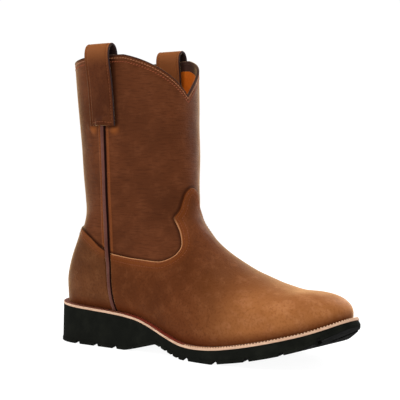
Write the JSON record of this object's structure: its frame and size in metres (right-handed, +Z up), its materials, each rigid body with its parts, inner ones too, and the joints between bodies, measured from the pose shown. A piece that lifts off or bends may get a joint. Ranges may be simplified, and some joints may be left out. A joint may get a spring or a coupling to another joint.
{
  "type": "pull-on work boot",
  "caption": "Right-foot pull-on leather work boot: hollow shaft with a dipped collar and pull straps, vamp and heel-counter overlays, welt, and a low-heeled lugged rubber outsole.",
  "frame": {"origin": "middle of the boot's outline, on the floor plane under the sole", "axes": "+X towards the toe, -Y towards the outer side of the foot, +Z up the shaft"},
  "size_m": [0.3074, 0.1153, 0.2746],
  "materials": {
    "outsole_rubber": "matt moulded rubber",
    "welt_leather": "natural edge, wheeled",
    "insole_leather": "smooth, undyed",
    "shaft_leather": "satin, fine tumbled grain",
    "vamp_leather": "satin, smooth oiled",
    "counter_leather": "satin, smooth oiled",
    "piping_leather": "satin",
    "strap_leather": "satin"
  },
  "bodies": {
    "root": {"outsole": "outsole_rubber", "welt": "welt_leather", "insole": "insole_leather", "upper": "shaft_leather", "vamp": "vamp_leather", "counter": "counter_leather", "side_seam_outer": "piping_leather", "side_seam_inner": "piping_leather", "pull_strap_outer": "strap_leather", "pull_strap_inner": "strap_leather"}
  },
  "joints": []
}
